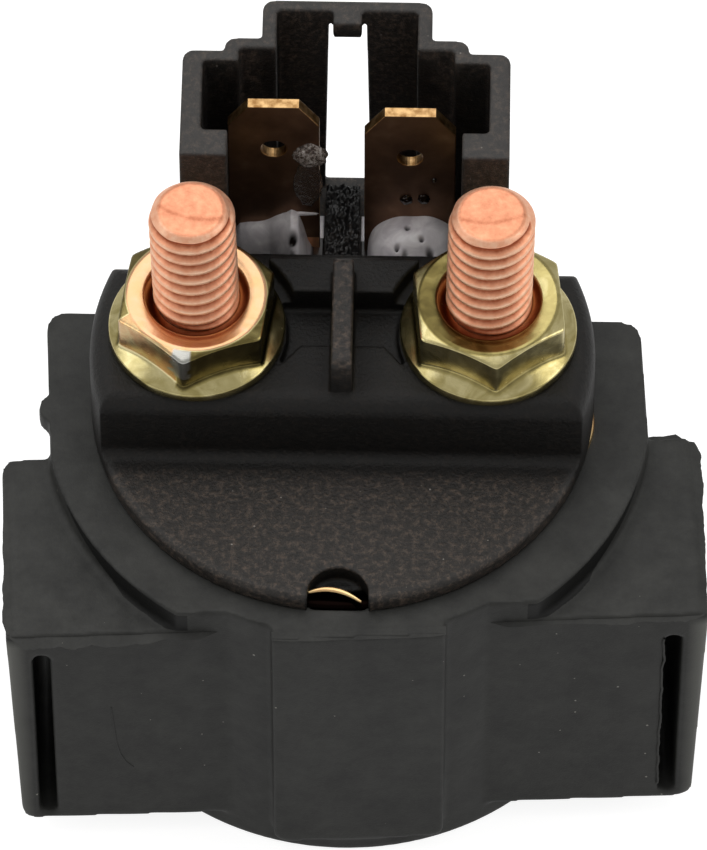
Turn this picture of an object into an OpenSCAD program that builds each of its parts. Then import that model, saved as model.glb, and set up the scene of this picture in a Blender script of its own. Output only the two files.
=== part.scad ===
// Motorcycle starter relay: a solenoid contactor with two studs, held in a rubber mounting boot.
// Millimetres. Z runs up along the studs, Y points to the connector socket.
// The origin is on the can's axis, in the face that the boot stands on.

/* [Can] */
// Outer diameter of the drawn steel can
can_d = 34; // [32:0.5:38]
// Height of the can, from its bottom to its rolled edge
can_h = 25.6; // [25:0.1:28]
// Thickness of the can's side
can_wall = 0.9; // [0.6:0.1:1.2]
// Thickness of the can's bottom
can_floor = 1; // [0.8:0.1:1.4]
// Width of the edge that is rolled inwards over the coil
can_lip = 1.2; // [1:0.1:1.4]

/* [Cap] */
// Diameter of the round cap
cap_d = 34.8; // [34.4:0.1:36]
// Thickness of the cap's shelf where it lies on the can
shelf_t = 1.4; // [1.2:0.1:2]
// Height of the terminal block over the shelf
block_h = 6; // [5.6:0.1:8]
// Reach of the terminal block in front of the axis
block_front = 5.4; // [5:0.1:6]
// Reach of the terminal block behind the axis
block_back = 6.6; // [6.2:0.1:6.8]
// Rounding of the block's upper edges
block_r = 1.4; // [0.8:0.1:1.6]
// Radius of the notch in the shelf's front edge
notch_r = 2.1; // [1.4:0.1:2.6]
// Thickness of the rib that parts the two terminals
rib_t = 1.45; // [1:0.05:2]
// Height of the rib over the block
rib_h = 3.6; // [2:0.1:5]

/* [Terminals] */
// Distance between the two studs
stud_gap = 20; // [19.6:0.1:20.6]
// Diameter over the M6 thread
stud_d = 5.9; // [5:0.1:6]
// Height of the studs over the block
stud_rise = 14; // [12:0.1:18]
// Place of the studs behind the can's axis
stud_y = 0.8; // [0.4:0.1:1]
// Width across the flats of the nuts
nut_af = 10; // [9:0.1:10.4]
// Diameter of the nuts' flanges
nut_flange_d = 12.2; // [11.6:0.1:12.6]
// Height of the nuts
nut_h = 4.4; // [4:0.1:6]
// Turn of the left nut
nut_left_turn = 22; // [0:1:59]
// Turn of the right nut
nut_right_turn = 36; // [0:1:59]

/* [Connector] */
// Width of the push-on blades
blade_w = 6.3; // [5.8:0.1:6.4]
// Thickness of the push-on blades
blade_t = 0.8; // [0.6:0.1:1]
// Distance between the middles of the blades
blade_gap = 9.4; // [9:0.1:10]
// Length of the blades over the socket's floor
blade_rise = 16.4; // [14:0.1:17]
// Diameter of the latching hole in each blade
blade_hole_d = 1.8; // [1.4:0.1:2.4]
// Outer width of the socket
socket_w = 22.5; // [22:0.1:24]
// Height of the socket's rim over the cap's shelf
socket_rise = 17.9; // [17:0.1:20]
// Place of the socket's front wall behind the axis
socket_y = 7; // [6.9:0.1:7.2]
// Depth of the socket at its side parts, outside
socket_side_depth = 9; // [8.8:0.1:9.4]
// Depth of the socket at its first step, outside
socket_step_depth = 10.1; // [9.9:0.1:10.4]
// Depth of the socket at its middle, outside
socket_mid_depth = 13.4; // [13:0.1:14]
// Thickness of the socket's back walls
socket_wall = 0.85; // [0.8:0.05:1]
// Thickness of the socket's side walls
socket_cheek = 1.4; // [1:0.1:1.5]
// Thickness of the socket's front wall
socket_front_wall = 2.2; // [1.6:0.1:2.4]
// Width of the gap in the front wall
socket_mouth = 16; // [15.8:0.1:17]

/* [Boot] */
// Outer diameter of the boot's round body
boot_d = 38.4; // [37:0.1:40]
// Diameter of the rim round the boot's mouth
rim_d = 42; // [41:0.1:44]
// Height of the boot, to its rim
boot_h = 27.5; // [27:0.1:29]
// Thickness of the boot's floor
boot_floor = 2; // [1.5:0.1:3]
// Depth of the rim, measured down the boot
rim_h = 3.5; // [2.5:0.1:5]
// Turn of the boot on the can, as it was pushed on by hand
boot_turn = 3.4; // [-6:0.1:6]
// Distance from the axis to the outer face of each ear
ear_reach = 24.1; // [23:0.1:26]
// Distance from the axis to the ears' front faces
ear_front = 17; // [16:0.1:17.4]
// Length of the ears from front to back
ear_depth = 14.8; // [10:0.1:18]
// Height of the ears' lower edge over the boot's foot
ear_low = 2.3; // [1:0.1:4]
// Height of the ears' upper face over the boot's foot
ear_high = 25.4; // [24.6:0.1:26]
// Width of the slot through each ear
slot_w = 1.2; // [1:0.1:1.6]
// Height of the slot through each ear
slot_h = 19.9; // [16:0.1:20.4]
// Width of the raised pad on the boot's front
pad_w = 11.9; // [8:0.1:13]

/* [Solenoid] */
// Travel of the plunger until the bridge meets the studs
stroke = 2; // [1.6:0.1:2.2]
// Further travel that the contact spring takes up
overtravel = 0.6; // [0.4:0.1:0.8]
// Diameter of the plunger
plunger_d = 10; // [9:0.1:11]
// Diameter of the rod that carries the bridge
rod_d = 3; // [2.6:0.1:3.2]
// Length of the copper bridge
bridge_l = 26.4; // [25:0.1:27]
// Width of the copper bridge
bridge_w = 8; // [6:0.1:8.4]
// Thickness of the copper bridge
bridge_t = 1.2; // [0.8:0.1:1.4]
// Height of the coil's bobbin
bobbin_h = 17; // [16:0.1:17.4]
// Thickness of the steel plate over the coil
plate_t = 1.8; // [1.4:0.1:1.8]
// Outer diameter of the winding
winding_d = 28.4; // [26:0.1:30]
// Wire of the return spring
return_wire = 0.6; // [0.5:0.05:0.65]
// Turns of the return spring
return_turns = 4.5; // [3:0.5:4.5]
// Wire of the contact spring
contact_wire = 0.6; // [0.5:0.05:0.65]
// Turns of the contact spring
contact_turns = 2; // [1.5:0.5:2]

/* [Hidden] */
$fn = 96;

// Clearances: between fixed pieces, round what slides and round what is dropped in
fit = 0.05;
run = 0.08;
play = 0.2;
// Overrun of every cut
cut = 1;

// Levels up the axis, each from the piece that it rests on
can_bottom = boot_floor;
can_inside = can_bottom + can_floor;
can_top = can_bottom + can_h;
shelf_top = can_top + shelf_t;
block_top = shelf_top + block_h;
coil_top = can_inside + bobbin_h;
plate_top = coil_top + plate_t;

// Can
can_r = can_d / 2;
can_bore_r = can_r - can_wall;
can_lip_t = can_wall * 2 / 3;
can_foot_r = 1.4;    // rounding between the can's side and bottom

// Cap
cap_r = cap_d / 2;
shelf_edge_r = 0.5;
plug_r = can_r - can_lip - play;     // the skirt that stands in the can
plug_wall = 1;
chamber_r = plug_r - plug_wall;
gasket_t = 0.8;
gasket_inset = 0.1;
plug_bottom = plate_top + gasket_t;
roof_t = 0.4;                        // roof of the contact chamber below the shelf's seat
chamber_top = can_top - roof_t;
stud_wall = 3.2;                     // thickness of the block that each stud passes through
head_top = block_top - stud_wall;
notch_inset = 0.7;                   // middle of the notch's round end, inside the cap's edge
notch_y = cap_r - notch_inset;
rib_front = 4.4;
rib_back = 4.8;
cove_r = 0.8;                        // fillet at the foot of the block's front
pocket_depth = 0.8;                  // sunk floor between the nuts' seats
pocket_back = 3.3;                   // up to the raised land behind
pocket_front = 0.3;                  // back edge of the land in front, at its narrow end
land_back_half = 2.9;                // half width of that land behind and in front
land_front_half = 5.9;
land_front = 4;
seat_margin = 0.1;                   // seat left round each nut's flange
rear_land_h = 1.4;                   // raised land behind the nuts, hollowed for a wrench
rear_land_half = 5.2;
rear_land_inset = 0.4;
wrench_gap = 0.9;
well_wall = 2.4;                     // block left over the rod's well
well_r = 4.2;

// Studs and nuts
stud_r = stud_d / 2;
stud_core_r = 2.7;                   // stud inside the nut and the block, at the thread's mid height
stud_x = stud_gap / 2;
stud_top = block_top + stud_rise;
stud_tip_r = 2.2;
stud_tip_h = 0.9;
head_d = 8.2;
head_flat = 7.4;
head_t = 1.9;
head_face = head_top - head_t;
flange_edge = 0.8;
flange_rise = 1.7;                   // height where the flange's cone meets the flats
flange_cone_share = 0.8;
nut_sink_d = 7.2;
nut_sink_h = 0.6;
nut_crown_share = 0.94;              // top circle of the chamfered hexagon
nut_crown_h = 0.5;

// Blades
blade_x = blade_gap / 2;
blade_y = 12.6;
blade_tip_w = 3.5;
blade_tip_h = 2.1;
blade_hole_drop = 4.7;               // from the blade's tip to the middle of its hole
blade_shift = -0.27;                 // both blades stand a little left of the socket's middle
blade_right_drop = 0.8;              // the right blade is set deeper
tail_w = 3;
tail_x = 4.2;
tail_drop = 4.4;                     // length of the tail below the shelf

// Socket
socket_half = socket_w / 2;
socket_top = shelf_top + socket_rise;
socket_step_inset = 2.85;            // how far each step of the socket stands in from its sides
socket_mid_inset = 5.4;
socket_step_half = socket_half - socket_step_inset;
socket_mid_half = socket_half - socket_mid_inset;
socket_step_cheek = 1;               // walls beside the steps
socket_in_half = socket_half - socket_cheek;
socket_in_y = socket_y + socket_front_wall;
socket_step_in_half = socket_step_half - socket_step_cheek;
socket_mid_in_half = socket_mid_half - socket_step_cheek;
socket_corner_r = 0.8;
skirt_drop = 2.35;                   // from the shelf down to the floor outside the can
skirt_top = shelf_top - skirt_drop;
skirt_t = 1.75;
skirt_bottom = skirt_top - skirt_t;
skirt_wall = 0.5;
window_top_half = 1.3;
window_low_half = 1.6;
window_drop = 1.5;                   // bar left over the window
tab_half = 1;
tab_depth = 1.15;
tab_h = 1.6;
dam_h = 3.6;                         // low wall between the block and the sealant
dam_back = 1.2;

// Sealant
sealant_cheek = 0.3;                 // sealant left beside each blade
sealant_swell = 0.45;
sealant_half = blade_w / 2 + sealant_cheek;
sealant_r = sealant_half + sealant_swell;
sealant_h = 4.1;
sealant_edge_r = 2.2;                // rounding of each mound's upper edge
sealant_mid_half = blade_x - sealant_half - fit;
sealant_mid_h = 1.6;
sealant_mid_end = 17;

// Boot
boot_r = boot_d / 2;
boot_bore_r = can_r + fit;
boot_foot_r = 0.6;
rim_r = rim_d / 2;
rim_flat = 0.3;                      // the rim's sides are straight, this much inside its circle
rim_side = rim_r - rim_flat;
rim_end = 7.6;                       // where the high rim stops, in line with the socket's front
rim_slant = rim_side * tan(boot_turn);
rim_corner_r = 1.5;
boot_shift = 0.35;                   // how far the boot's outside stands off its bore, to the right
mouth_gap = 0.2;                     // the boot's mouth stands off the cap on the same side
back_drop = 0.4;                     // gap below the socket's skirt
boot_back_h = skirt_bottom - back_drop;
ear_foot_r = 1.2;
ear_top_fall = 0.3;
ear_top_run = 0.6;
ear_taper = 0.5;
ear_corner_r = 1;
ear_root = 6;                        // inner end of the ears, inside the round body
slot_place_share = 0.9025;           // place of the slot along the ear's reach
slot_x = ear_reach * slot_place_share;
slot_skin = 0.6;                     // rubber left below each slot, and the least over it
slot_low = ear_low + slot_skin;
ear_top = max(ear_high, slot_low + slot_h + slot_skin);
pad_front = 19.4;
pad_low = 1.9;
pad_r = 1;
nub_r = 1.2;                         // half-round nub on the rim's left side
nub_sink = 0.5;
nub_h = 1.6;
nub_y = 0.6;

// Coil and core
tube_in_r = plunger_d / 2 + run;
tube_wall = 0.4;
tube_r = tube_in_r + tube_wall;
bobbin_bore_r = tube_r + fit;
bobbin_wall = 1;
bobbin_core_r = bobbin_bore_r + bobbin_wall;
bobbin_r = can_bore_r - play;
bobbin_flange = 1.2;
winding_r = winding_d / 2;
core_r = tube_in_r - fit;
core_neck_r = 4;
lead_r = 0.4;
lead_y = blade_y - blade_t / 2 - lead_r;
lead_hole_r = 0.9;
lead_lap = 1;                        // length of each lead beside its tail

// Plunger and rod, drawn at rest
plunger_rest = 0.1;                  // gap between the plunger and the can's bottom
plunger_bottom = can_inside + plunger_rest;
pull_gap = 0.2;                      // gap left at the core when the bridge has closed
plunger_l = 8.6;
plunger_top = plunger_bottom + plunger_l;
core_bottom = plunger_top + stroke + overtravel + pull_gap;
spring_pit_r = 3.7;
spring_pit = 3;
spring_seat = plunger_top - spring_pit;
rod_r = rod_d / 2;
rod_bore_r = rod_r + run;
rod_root = 3;
rod_bottom = spring_seat - rod_root;
bridge_top = head_face - stroke;
bridge_bottom = bridge_top - bridge_t;
bush_flange = 0.8;
bush_r = 2.4;
bush_flange_r = 3.8;
bush_bottom = bridge_bottom - bush_flange;
washer_t = 0.8;
washer_r = 3.6;
washer_top = bridge_top + washer_t;
clip_t = 0.6;
clip_r = 2.8;
clip_bottom = washer_top + fit;
groove_r = 1.1;
rod_end = 0.7;                       // rod above the clip
rod_top = clip_bottom + clip_t + rod_end;
collar_r = 2.6;
collar_t = 0.8;
collar_gap = 0.3;                    // from the plate up to the collar
collar_bottom = plate_top + collar_gap;
collar_top = collar_bottom + collar_t;

// Springs
return_r = 3;
contact_r = 2.5;
wire_sides = 6;
ring_steps = 12;                     // rings in one turn

// Straight ring between two levels
module ring(outer_r, inner_r, low, high) {
    translate([0, 0, low]) difference() {
        cylinder(h = high - low, r = outer_r);
        translate([0, 0, -cut]) cylinder(h = high - low + 2 * cut, r = inner_r);
    }
}

// Upright cylinder between two levels
module post(r, low, high) {
    translate([0, 0, low]) cylinder(h = high - low, r = r);
}

// Box from one corner to the opposite one
module block(from, to) {
    translate(from) cube(to - from);
}

// Points on a quarter of a circle, for the rounded corners of turned outlines
function arc(centre, r, start, end, steps = 6) =
    [for (i = [0:steps]) let (a = start + (end - start) * i / steps) centre + r * [cos(a), sin(a)]];

// Disc with a rounded upper edge
module round_disc(r, low, high, edge) {
    corner = arc([r - edge, high - edge], edge, 0, 90);
    rotate_extrude() polygon(concat([[0, low], [r, low]], corner, [[0, high]]));
}

// Rubber boot: a cup with a high rim in front, two slotted ears and a raised front pad
module rubber_boot() {
    color([0.2, 0.2, 0.2]) rotate([0, 0, boot_turn]) difference() {
        translate([boot_shift, 0, 0]) union() {
            boot_cup();
            boot_rim();
            for (side = [-1, 1]) boot_ear(side);
            boot_pad();
            translate([-rim_side + nub_sink, nub_y, 0]) post(nub_r, boot_h - nub_h, boot_h);
        }
        post(boot_bore_r, boot_floor, boot_h + ear_top);
        translate([mouth_gap, 0, 0]) post(cap_r + fit + mouth_gap, can_top - fit, boot_h + ear_top);
        for (side = [-1, 1]) translate([boot_shift, 0, 0]) boot_slot(side);
    }
}

// Round body, low behind where the socket hangs over it
module boot_cup() {
    rotate_extrude() polygon(concat(
        [[0, 0]], arc([boot_r - boot_foot_r, boot_foot_r], boot_foot_r, -90, 0),
        [[boot_r, boot_back_h], [0, boot_back_h]]));
    intersection() {
        post(boot_r, boot_h / 2, boot_h);
        rim_plan(-rim_r);
    }
}

// Wider rim with straight sides, cut off flat in front in line with the ears
module boot_rim() {
    intersection() {
        union() {
            post(rim_r, boot_h - rim_h, boot_h);
            block([-rim_side, 0, boot_h - rim_h], [rim_side, rim_end + rim_slant, boot_h]);
        }
        rim_plan(-ear_front);
    }
}

// Plan of the high part, from its front to its two rounded ends beside the socket
module rim_plan(front) {
    linear_extrude(boot_h) polygon(concat(
        [[-rim_side, front], [rim_side, front]],
        arc([rim_side - rim_corner_r, rim_end - rim_slant - rim_corner_r], rim_corner_r, 0, 90),
        arc([-rim_side + rim_corner_r, rim_end + rim_slant - rim_corner_r], rim_corner_r, 90, 180)));
}

// One ear: its outline seen from the front, cut to its outline seen from above
module boot_ear(side) {
    flip = side < 0 ? 1 : 0;
    mirror([flip, 0, 0]) intersection() {
        translate([0, -ear_front + ear_depth, 0]) rotate([90, 0, 0]) linear_extrude(ear_depth) polygon(concat(
            [[ear_root, ear_low]],
            arc([ear_reach - ear_taper - ear_foot_r, ear_low + ear_foot_r], ear_foot_r, -90, 0),
            [[ear_reach, ear_top - ear_top_fall], [ear_reach - ear_top_run, ear_top], [ear_root, ear_top]]));
        translate([0, 0, ear_low]) linear_extrude(ear_top - ear_low) polygon(concat(
            [[ear_root, -ear_front], [ear_reach, -ear_front]],
            arc([ear_reach - ear_corner_r, ear_depth - ear_front - ear_corner_r], ear_corner_r, 0, 90),
            [[ear_root, ear_depth - ear_front]]));
    }
}

// Slot for the bracket's tongue, right through from front to back, with round ends
module boot_slot(side) {
    depth = boot_r + ear_front + cut;
    translate([side * slot_x, boot_r, slot_low]) rotate([90, 0, 0]) {
        for (level = [slot_w / 2, slot_h - slot_w / 2])
            translate([0, level, 0]) cylinder(h = depth, r = slot_w / 2);
        translate([-slot_w / 2, slot_w / 2, 0]) cube([slot_w, slot_h - slot_w, depth]);
    }
}

// Raised pad down the middle of the front
module boot_pad() {
    depth = pad_front - ear_front + pad_r;
    translate([0, -ear_front + pad_r, 0]) rotate([90, 0, 0]) linear_extrude(depth) polygon(concat(
        arc([-pad_w / 2 + pad_r, pad_low + pad_r], pad_r, 180, 270),
        arc([pad_w / 2 - pad_r, pad_low + pad_r], pad_r, 270, 360),
        [[pad_w / 2, boot_h], [-pad_w / 2, boot_h]]));
}

// Steel can: drawn cup whose edge is rolled inwards over the coil
module steel_can() {
    color([0.75, 0.65, 0.35]) translate([0, 0, can_bottom]) rotate_extrude() polygon(concat(
        [[0, 0]], arc([can_r - can_foot_r, can_foot_r], can_foot_r, -90, 0),
        [[can_r, can_h], [can_r - can_lip, can_h], [can_r - can_lip, can_h - can_lip_t],
         [can_bore_r, can_h - can_lip_t], [can_bore_r, can_floor], [0, can_floor]]));
}

// Cap: round shelf, terminal block and connector socket in one moulding
module terminal_cap() {
    color([0.16, 0.16, 0.16]) difference() {
        union() {
            round_disc(cap_r, can_top, shelf_top, shelf_edge_r);
            post(plug_r, plug_bottom, can_top + shelf_t / 2);
            terminal_block();
            socket_shell();
        }
        post(chamber_r, plug_bottom - cut, chamber_top);
        contact_chamber();
        for (side = [-1, 1]) {
            translate([side * stud_x, stud_y, 0]) post(stud_core_r + fit, head_top - cut, block_top + cut);
            block_pocket(side);
            block([side * tail_x - tail_w / 2 - fit, blade_y - blade_t / 2 - fit, chamber_top - cut],
                  [side * tail_x + tail_w / 2 + fit, blade_y + blade_t / 2 + fit, shelf_top + cut]);
        }
        translate([0, -notch_y, 0]) post(notch_r, can_top - fit, shelf_top + cut);
        block([-notch_r, -cap_r - cut, can_top - fit], [notch_r, -notch_y, shelf_top + cut]);
    }
}

// Block across the whole cap, with rounded upper edges, a land behind the nuts and a rib between them
module terminal_block() {
    intersection() {
        round_disc(cap_r, can_top, block_top, block_r);
        translate([-cap_r, 0, 0]) rotate([90, 0, 90]) linear_extrude(cap_d) polygon(concat(
            [[-block_front - cove_r, can_top], [block_back, can_top]],
            arc([block_back - block_r, block_top - block_r], block_r, 0, 90),
            arc([-block_front + block_r, block_top - block_r], block_r, 90, 180),
            arc([-block_front - cove_r, shelf_top + cove_r], cove_r, 0, -90)));
    }
    difference() {
        block([-rear_land_half, pocket_back, block_top - cut],
              [rear_land_half, block_back - rear_land_inset, block_top + rear_land_h]);
        for (side = [-1, 1]) translate([side * stud_x, stud_y, 0])
            post(nut_flange_d / 2 + wrench_gap, block_top, block_top + rear_land_h + cut);
    }
    translate([-rib_t / 2, 0, 0]) rotate([90, 0, 90]) linear_extrude(rib_t) polygon(concat(
        [[-rib_front, block_top - cut], [rib_back, block_top - cut]],
        arc([rib_back - rib_t / 2, block_top + rib_h - rib_t / 2], rib_t / 2, 0, 90),
        arc([-rib_front + rib_t / 2, block_top + rib_h - rib_t / 2], rib_t / 2, 90, 180)));
}

// Shallow sunk floor on one side of the rib, up to the round seat that is left under the nut
module block_pocket(side) {
    flip = side < 0 ? 1 : 0;
    mirror([flip, 0, 0]) difference() {
        translate([0, 0, block_top - pocket_depth]) linear_extrude(pocket_depth + cut) polygon([
            [rib_t / 2, pocket_back], [rib_t / 2, -pocket_front], [land_back_half, -pocket_front],
            [land_front_half, -land_front], [stud_x, -land_front], [stud_x, pocket_back]]);
        translate([stud_x, stud_y, 0])
            post(nut_flange_d / 2 + seat_margin, block_top - pocket_depth - cut, block_top + 2 * cut);
    }
}

// Room for the stud heads, the bridge's travel and the end of the rod
module contact_chamber() {
    for (side = [-1, 1]) stud_head(side, chamber_top - cut, head_top, play);
    block([-bridge_l / 2 - play, -bridge_w / 2 - play, chamber_top - cut],
          [bridge_l / 2 + play, bridge_w / 2 + play, head_face + bush_flange]);
    post(well_r, chamber_top - cut, block_top - well_wall);
}

// Block with rounded back corners, the plan form of each part of the socket
module socket_bar(half, depth, low, high) {
    r = socket_corner_r;
    translate([0, socket_y, low]) {
        translate([-half, 0, 0]) cube([2 * half, depth - r, high - low]);
        translate([-half + r, 0, 0]) cube([2 * (half - r), depth, high - low]);
        for (side = [-1, 1]) translate([side * (half - r), depth - r, 0]) cylinder(h = high - low, r = r);
    }
}

// Outer form of the socket: two steps outwards, back to the middle
module socket_body(low, high) {
    socket_bar(socket_half, socket_side_depth, low, high);
    socket_bar(socket_step_half, socket_step_depth, low, high);
    socket_bar(socket_mid_half, socket_mid_depth, low, high);
}

// Socket walls, open upwards, with a mouth in front, a window behind and a latching tab over it
module socket_shell() {
    difference() {
        socket_body(shelf_top, socket_top);
        socket_cavity(shelf_top - cut, socket_top + cut);
        block([-socket_mouth / 2, socket_y - cut, shelf_top + dam_h],
              [socket_mouth / 2, socket_in_y + cut, socket_top + cut]);
        socket_window();
    }
    block([-tab_half, socket_y + socket_mid_depth - socket_wall - tab_depth, socket_top - tab_h],
          [tab_half, socket_y + socket_mid_depth - socket_wall / 2, socket_top]);
    block([-socket_half, block_back - block_r, can_top],
          [socket_half, socket_y + dam_back, shelf_top + dam_h]);
    difference() {
        socket_body(skirt_bottom, shelf_top);
        post(can_r + play, skirt_bottom - cut, can_top);
        difference() {
            socket_cavity(skirt_top, shelf_top + cut);
            post(can_r + play + skirt_wall, skirt_top - cut, shelf_top);
        }
        socket_window();
    }
}

// Room inside the socket
module socket_cavity(low, high) {
    back = socket_y - socket_wall;
    block([-socket_in_half, socket_in_y, low], [socket_in_half, back + socket_side_depth, high]);
    block([-socket_step_in_half, socket_in_y, low], [socket_step_in_half, back + socket_step_depth, high]);
    block([-socket_mid_in_half, socket_in_y, low], [socket_mid_in_half, back + socket_mid_depth, high]);
}

// Tall window in the socket's back wall, a little wider below
module socket_window() {
    depth = socket_wall + 2 * cut;
    translate([0, socket_y + socket_mid_depth + cut, 0]) rotate([90, 0, 0]) linear_extrude(depth) polygon([
        [-window_low_half, skirt_top], [window_low_half, skirt_top],
        [window_top_half, socket_top - window_drop], [-window_top_half, socket_top - window_drop]]);
}

// Flat-sided head of a stud, grown by a clearance where it is cut out of the cap
module stud_head(side, low, high, clearance = 0) {
    translate([side * stud_x, stud_y, low]) intersection() {
        cylinder(h = high - low, r = head_d / 2 + clearance);
        translate([-head_d, -head_flat / 2 - clearance, 0])
            cube([2 * head_d, head_flat + 2 * clearance, high - low]);
    }
}

// Copper stud with its contact head inside the cap, slimmer up to the nut's top where threads engage
module stud(side) {
    nut_top = block_top + nut_h;
    color([0.85, 0.55, 0.42]) {
        stud_head(side, head_face, head_top);
        translate([side * stud_x, stud_y, 0]) rotate_extrude() polygon([
            [0, head_face + head_t / 2], [stud_core_r, head_face + head_t / 2],
            [stud_core_r, nut_top - nut_sink_h], [stud_r, nut_top + play],
            [stud_r, stud_top - stud_tip_h], [stud_tip_r, stud_top], [0, stud_top]]);
    }
}

// Flange nut: hexagon with a chamfered crown over a conical flange
module flange_nut(side, turn) {
    crown_r = nut_af / 2 / cos(30);
    color([0.8, 0.74, 0.5]) translate([side * stud_x, stud_y, block_top]) rotate([0, 0, turn]) difference() {
        union() {
            intersection() {
                cylinder(h = nut_h, r = crown_r, $fn = 6);
                rotate_extrude() polygon([
                    [0, 0], [nut_flange_d / 2, 0], [nut_flange_d / 2, nut_h - nut_crown_h],
                    [crown_r, nut_h - nut_crown_h], [nut_af / 2 * nut_crown_share, nut_h], [0, nut_h]]);
            }
            rotate_extrude() polygon([
                [0, 0], [nut_flange_d / 2, 0], [nut_flange_d / 2, flange_edge],
                [nut_flange_d / 2 * flange_cone_share, flange_rise], [0, flange_rise]]);
        }
        post(stud_core_r + fit, -cut, nut_h + cut);
        rotate_extrude() polygon([
            [0, nut_h - nut_sink_h], [stud_core_r + fit, nut_h - nut_sink_h], [nut_sink_d / 2, nut_h],
            [nut_sink_d / 2, nut_h + cut], [0, nut_h + cut]]);
    }
}

// Push-on blade with a chamfered tip and a latching hole, and its narrow tail inside the cap
module blade(side) {
    tip = shelf_top + blade_rise - (side > 0 ? blade_right_drop : 0);
    middle = side * blade_x + blade_shift;
    tail = side * tail_x;
    color([0.62, 0.5, 0.28]) difference() {
        translate([0, blade_y + blade_t / 2, 0]) rotate([90, 0, 0]) linear_extrude(blade_t) polygon([
            [middle - blade_w / 2, shelf_top], [tail - tail_w / 2, shelf_top],
            [tail - tail_w / 2, shelf_top - tail_drop], [tail + tail_w / 2, shelf_top - tail_drop],
            [tail + tail_w / 2, shelf_top], [middle + blade_w / 2, shelf_top],
            [middle + blade_w / 2, tip - blade_tip_h], [middle + blade_tip_w / 2, tip],
            [middle - blade_tip_w / 2, tip], [middle - blade_w / 2, tip - blade_tip_h]]);
        translate([middle, blade_y + blade_t, tip - blade_hole_drop]) rotate([90, 0, 0])
            cylinder(h = 2 * blade_t, r = blade_hole_d / 2);
    }
}

// Mound of sealant round the foot of a blade
module sealant(side) {
    middle = side * blade_x + blade_shift;
    color([0.5, 0.48, 0.5]) difference() {
        intersection() {
            translate([middle, blade_y, 0])
                round_disc(sealant_r, shelf_top, shelf_top + sealant_h, sealant_edge_r);
            block([middle - sealant_half, socket_in_y, shelf_top],
                  [middle + sealant_half, socket_y + socket_side_depth - socket_wall, socket_top]);
        }
        block([middle - blade_w / 2, blade_y - blade_t / 2, 0],
              [middle + blade_w / 2, blade_y + blade_t / 2, socket_top]);
    }
}

// Rough sealant in the trough between the blades
module sealant_middle() {
    color([0.13, 0.13, 0.13])
        block([blade_shift - sealant_mid_half, socket_in_y, shelf_top],
              [blade_shift + sealant_mid_half, sealant_mid_end, shelf_top + sealant_mid_h]);
}

// Gasket between the cap's skirt and the plate over the coil
module cap_gasket() {
    color([0.1, 0.1, 0.1]) ring(plug_r - gasket_inset, chamber_r + gasket_inset, plate_top, plug_bottom);
}

// Steel plate that leads the coil's field to the core, with holes for the two leads
module pole_plate() {
    color([0.6, 0.6, 0.62]) difference() {
        ring(can_bore_r - fit, core_neck_r + fit, coil_top, plate_top);
        for (side = [-1, 1])
            translate([side * tail_x, lead_y, 0]) post(lead_hole_r, coil_top - cut, plate_top + cut);
    }
}

// Bobbin of the coil
module coil_bobbin() {
    color([0.85, 0.83, 0.75]) difference() {
        union() {
            ring(bobbin_core_r, bobbin_bore_r, can_inside, coil_top);
            ring(bobbin_r, bobbin_bore_r, can_inside, can_inside + bobbin_flange);
            ring(bobbin_r, bobbin_bore_r, coil_top - bobbin_flange, coil_top);
        }
        for (side = [-1, 1])
            translate([side * tail_x, lead_y, 0])
                post(lead_hole_r, coil_top - bobbin_flange - cut, coil_top + cut);
    }
}

// Wound copper, as one plain body, because the can hides it
module coil_winding() {
    color([0.6, 0.25, 0.1])
        ring(winding_r, bobbin_core_r + fit, can_inside + bobbin_flange, coil_top - bobbin_flange);
}

// Brass tube that guides the plunger
module guide_tube() {
    color([0.8, 0.68, 0.35]) ring(tube_r, tube_in_r, can_inside, coil_top);
}

// Fixed core, riveted into the plate, with the rod's bore through it
module fixed_core() {
    color([0.55, 0.55, 0.57]) difference() {
        union() {
            post(core_r, core_bottom, coil_top);
            post(core_neck_r, core_bottom, plate_top);
        }
        post(rod_bore_r, core_bottom - cut, plate_top + cut);
    }
}

// End of the winding's wire, led up beside the tail of its blade
module coil_lead(side) {
    color([0.7, 0.35, 0.15]) translate([side * tail_x, lead_y, 0])
        post(lead_r, coil_top - bobbin_flange, shelf_top - tail_drop + lead_lap);
}

// Plunger with a pit for the return spring
module plunger() {
    color([0.62, 0.62, 0.64]) difference() {
        post(plunger_d / 2, plunger_bottom, plunger_top);
        post(spring_pit_r, spring_seat, plunger_top + cut);
        post(rod_r + fit, rod_bottom, spring_seat + cut);
    }
}

// Rod with its collar for the contact spring and a groove for the clip
module plunger_rod() {
    color([0.72, 0.72, 0.74]) difference() {
        union() {
            post(rod_r, rod_bottom, rod_top);
            post(collar_r, collar_bottom, collar_top);
        }
        ring(rod_r + cut, groove_r, clip_bottom, clip_bottom + clip_t);
    }
}

// Spring clip in the rod's groove
module rod_clip() {
    color([0.35, 0.35, 0.37]) difference() {
        ring(clip_r, groove_r + fit, clip_bottom + fit, clip_bottom + clip_t - fit);
        block([0, -groove_r, clip_bottom - cut], [clip_r + cut, groove_r, clip_bottom + clip_t + cut]);
    }
}

// Copper bridge with rounded ends
module contact_bridge() {
    color([0.82, 0.5, 0.35]) difference() {
        intersection() {
            post(bridge_l / 2, bridge_bottom, bridge_top);
            block([-bridge_l, -bridge_w / 2, bridge_bottom], [bridge_l, bridge_w / 2, bridge_top]);
        }
        post(bush_r + fit, bridge_bottom - cut, bridge_top + cut);
    }
}

// Insulating bush between the bridge and the rod
module bridge_insulator() {
    color([0.5, 0.2, 0.12]) difference() {
        union() {
            post(bush_flange_r, bush_bottom, bridge_bottom);
            post(bush_r, bush_bottom, bridge_top);
        }
        post(rod_bore_r, bush_bottom - cut, bridge_top + cut);
    }
}

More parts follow.
